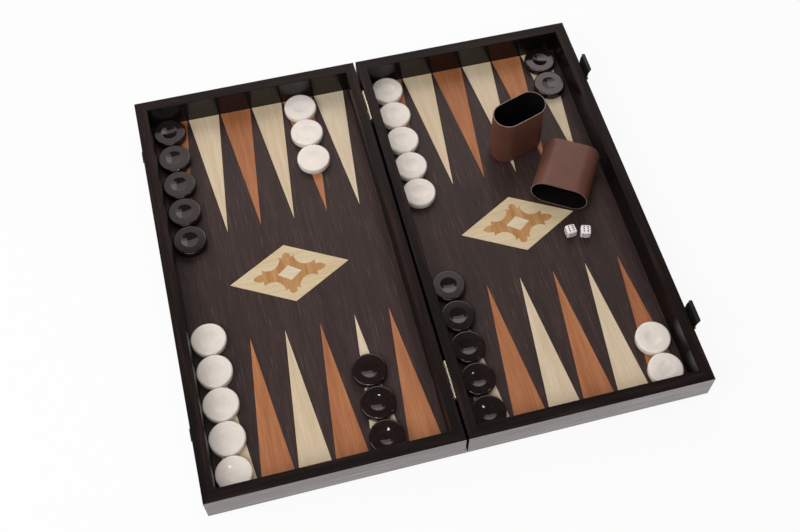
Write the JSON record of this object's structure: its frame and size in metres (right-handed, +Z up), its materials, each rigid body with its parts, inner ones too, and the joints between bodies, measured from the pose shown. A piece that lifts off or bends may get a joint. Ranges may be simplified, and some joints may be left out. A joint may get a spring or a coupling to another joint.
{
  "type": "backgammon board",
  "caption": "Folding wooden backgammon board with inlaid points, hinges and hook latches, set up with dished checkers, dice and oval dice cups.",
  "frame": {"origin": "on the table, below the middle of the hinge line of the open board", "axes": "+X from the hinge line to the half with the latches, +Y along the hinge line to the far side, +Z up"},
  "size_m": [0.5098, 0.475, 0.0688],
  "materials": {
    "wenge_wood": "dark wenge-stained hardwood under satin to gloss lacquer",
    "wenge_veneer": "dark wenge veneer with fine grain along the points, satin lacquer",
    "inlay_wood": "pale maple and orange-brown mahogany inlay, satin lacquer",
    "hinge_brass": "plain drawn brass",
    "black_metal": "black lacquered sheet steel",
    "cup_leather": "brown leatherette, dark felt lining",
    "dice_plastic": "glossy ivory white with dark pips",
    "black_checker": "polished black cast resin",
    "white_checker": "polished pearl white cast resin"
  },
  "bodies": {
    "right_half": {"right_front_wall": "wenge_wood", "right_back_wall": "wenge_wood", "right_outer_wall": "wenge_wood", "right_hinge_wall": "wenge_wood", "right_base_panel": "inlay_wood", "right_field_veneer": "wenge_veneer", "hinge_back_right_leaf": "hinge_brass", "hinge_back_pin": "hinge_brass", "hinge_front_right_leaf": "hinge_brass", "hinge_front_pin": "hinge_brass", "latch_back_base": "black_metal", "latch_back_pin": "black_metal", "latch_front_base": "black_metal", "latch_front_pin": "black_metal"},
    "left_half": {"left_front_wall": "wenge_wood", "left_back_wall": "wenge_wood", "left_outer_wall": "wenge_wood", "left_hinge_wall": "wenge_wood", "left_base_panel": "inlay_wood", "left_field_veneer": "wenge_veneer", "hinge_back_left_leaf": "hinge_brass", "hinge_front_left_leaf": "hinge_brass", "keeper_back": "black_metal", "keeper_front": "black_metal"},
    "latch_back": {"latch_back_lever": "black_metal"},
    "latch_front": {"latch_front_lever": "black_metal"},
    "cup_standing": {"dice_cup_standing": "cup_leather"},
    "cup_lying": {"dice_cup_lying": "cup_leather"},
    "die_1": {"die_1": "dice_plastic"},
    "die_2": {"die_2": "dice_plastic"},
    "black_01": {"black_checker_01": "black_checker"},
    "black_02": {"black_checker_02": "black_checker"},
    "black_03": {"black_checker_03": "black_checker"},
    "black_04": {"black_checker_04": "black_checker"},
    "black_05": {"black_checker_05": "black_checker"},
    "black_06": {"black_checker_06": "black_checker"},
    "black_07": {"black_checker_07": "black_checker"},
    "black_08": {"black_checker_08": "black_checker"},
    "black_09": {"black_checker_09": "black_checker"},
    "black_10": {"black_checker_10": "black_checker"},
    "black_11": {"black_checker_11": "black_checker"},
    "black_12": {"black_checker_12": "black_checker"},
    "black_13": {"black_checker_13": "black_checker"},
    "black_14": {"black_checker_14": "black_checker"},
    "black_15": {"black_checker_15": "black_checker"},
    "white_01": {"white_checker_01": "white_checker"},
    "white_02": {"white_checker_02": "white_checker"},
    "white_03": {"white_checker_03": "white_checker"},
    "white_04": {"white_checker_04": "white_checker"},
    "white_05": {"white_checker_05": "white_checker"},
    "white_06": {"white_checker_06": "white_checker"},
    "white_07": {"white_checker_07": "white_checker"},
    "white_08": {"white_checker_08": "white_checker"},
    "white_09": {"white_checker_09": "white_checker"},
    "white_10": {"white_checker_10": "white_checker"},
    "white_11": {"white_checker_11": "white_checker"},
    "white_12": {"white_checker_12": "white_checker"},
    "white_13": {"white_checker_13": "white_checker"},
    "white_14": {"white_checker_14": "white_checker"},
    "white_15": {"white_checker_15": "white_checker"}
  },
  "joints": [
    {"name": "board_fold", "type": "hinge", "parent": "right_half", "child": "left_half", "pos_m": [0, 0, 0.0347], "axis": [0, -1, 0], "range_deg": [-180, 0]},
    {"name": "cup_standing_tip", "type": "hinge", "parent": "right_half", "child": "cup_standing", "pos_m": [0.14782, 0.11693, 0.0048], "axis": [-0.9511, -0.309, 0], "range_deg": [0, 90]},
    {"name": "latch_back_swing", "type": "hinge", "parent": "right_half", "child": "latch_back", "pos_m": [0.254, 0.166, 0.0285], "axis": [0, 1, 0], "range_deg": [-5, 100]},
    {"name": "latch_front_swing", "type": "hinge", "parent": "right_half", "child": "latch_front", "pos_m": [0.254, -0.166, 0.0285], "axis": [0, 1, 0], "range_deg": [-5, 100]},
    {"name": "lift_cup_lying", "type": "slide", "parent": "right_half", "child": "cup_lying", "axis": [0, 0, 1], "range_m": [0, 0.04]},
    {"name": "lift_die_1", "type": "slide", "parent": "right_half", "child": "die_1", "axis": [0, 0, 1], "range_m": [0, 0.04]},
    {"name": "lift_die_2", "type": "slide", "parent": "right_half", "child": "die_2", "axis": [0, 0, 1], "range_m": [0, 0.04]},
    {"name": "lift_black_01", "type": "slide", "parent": "left_half", "child": "black_01", "axis": [0, 0, 1], "range_m": [0, 0.04]},
    {"name": "lift_black_02", "type": "slide", "parent": "left_half", "child": "black_02", "axis": [0, 0, 1], "range_m": [0, 0.04]},
    {"name": "lift_black_03", "type": "slide", "parent": "left_half", "child": "black_03", "axis": [0, 0, 1], "range_m": [0, 0.04]},
    {"name": "lift_black_04", "type": "slide", "parent": "left_half", "child": "black_04", "axis": [0, 0, 1], "range_m": [0, 0.04]},
    {"name": "lift_black_05", "type": "slide", "parent": "left_half", "child": "black_05", "axis": [0, 0, 1], "range_m": [0, 0.04]},
    {"name": "lift_black_06", "type": "slide", "parent": "left_half", "child": "black_06", "axis": [0, 0, 1], "range_m": [0, 0.04]},
    {"name": "lift_black_07", "type": "slide", "parent": "left_half", "child": "black_07", "axis": [0, 0, 1], "range_m": [0, 0.04]},
    {"name": "lift_black_08", "type": "slide", "parent": "left_half", "child": "black_08", "axis": [0, 0, 1], "range_m": [0, 0.04]},
    {"name": "lift_black_09", "type": "slide", "parent": "right_half", "child": "black_09", "axis": [0, 0, 1], "range_m": [0, 0.04]},
    {"name": "lift_black_10", "type": "slide", "parent": "right_half", "child": "black_10", "axis": [0, 0, 1], "range_m": [0, 0.04]},
    {"name": "lift_black_11", "type": "slide", "parent": "right_half", "child": "black_11", "axis": [0, 0, 1], "range_m": [0, 0.04]},
    {"name": "lift_black_12", "type": "slide", "parent": "right_half", "child": "black_12", "axis": [0, 0, 1], "range_m": [0, 0.04]},
    {"name": "lift_black_13", "type": "slide", "parent": "right_half", "child": "black_13", "axis": [0, 0, 1], "range_m": [0, 0.04]},
    {"name": "lift_black_14", "type": "slide", "parent": "right_half", "child": "black_14", "axis": [0, 0, 1], "range_m": [0, 0.04]},
    {"name": "lift_black_15", "type": "slide", "parent": "right_half", "child": "black_15", "axis": [0, 0, 1], "range_m": [0, 0.04]},
    {"name": "lift_white_01", "type": "slide", "parent": "left_half", "child": "white_01", "axis": [0, 0, 1], "range_m": [0, 0.04]},
    {"name": "lift_white_02", "type": "slide", "parent": "left_half", "child": "white_02", "axis": [0, 0, 1], "range_m": [0, 0.04]},
    {"name": "lift_white_03", "type": "slide", "parent": "left_half", "child": "white_03", "axis": [0, 0, 1], "range_m": [0, 0.04]},
    {"name": "lift_white_04", "type": "slide", "parent": "left_half", "child": "white_04", "axis": [0, 0, 1], "range_m": [0, 0.04]},
    {"name": "lift_white_05", "type": "slide", "parent": "left_half", "child": "white_05", "axis": [0, 0, 1], "range_m": [0, 0.04]},
    {"name": "lift_white_06", "type": "slide", "parent": "left_half", "child": "white_06", "axis": [0, 0, 1], "range_m": [0, 0.04]},
    {"name": "lift_white_07", "type": "slide", "parent": "left_half", "child": "white_07", "axis": [0, 0, 1], "range_m": [0, 0.04]},
    {"name": "lift_white_08", "type": "slide", "parent": "left_half", "child": "white_08", "axis": [0, 0, 1], "range_m": [0, 0.04]},
    {"name": "lift_white_09", "type": "slide", "parent": "right_half", "child": "white_09", "axis": [0, 0, 1], "range_m": [0, 0.04]},
    {"name": "lift_white_10", "type": "slide", "parent": "right_half", "child": "white_10", "axis": [0, 0, 1], "range_m": [0, 0.04]},
    {"name": "lift_white_11", "type": "slide", "parent": "right_half", "child": "white_11", "axis": [0, 0, 1], "range_m": [0, 0.04]},
    {"name": "lift_white_12", "type": "slide", "parent": "right_half", "child": "white_12", "axis": [0, 0, 1], "range_m": [0, 0.04]},
    {"name": "lift_white_13", "type": "slide", "parent": "right_half", "child": "white_13", "axis": [0, 0, 1], "range_m": [0, 0.04]},
    {"name": "lift_white_14", "type": "slide", "parent": "right_half", "child": "white_14", "axis": [0, 0, 1], "range_m": [0, 0.04]},
    {"name": "lift_white_15", "type": "slide", "parent": "right_half", "child": "white_15", "axis": [0, 0, 1], "range_m": [0, 0.04]}
  ],
  "couplings": [
    {"joint": "cup_standing_tip", "follows": "board_fold", "ratio": -0.5}
  ]
}
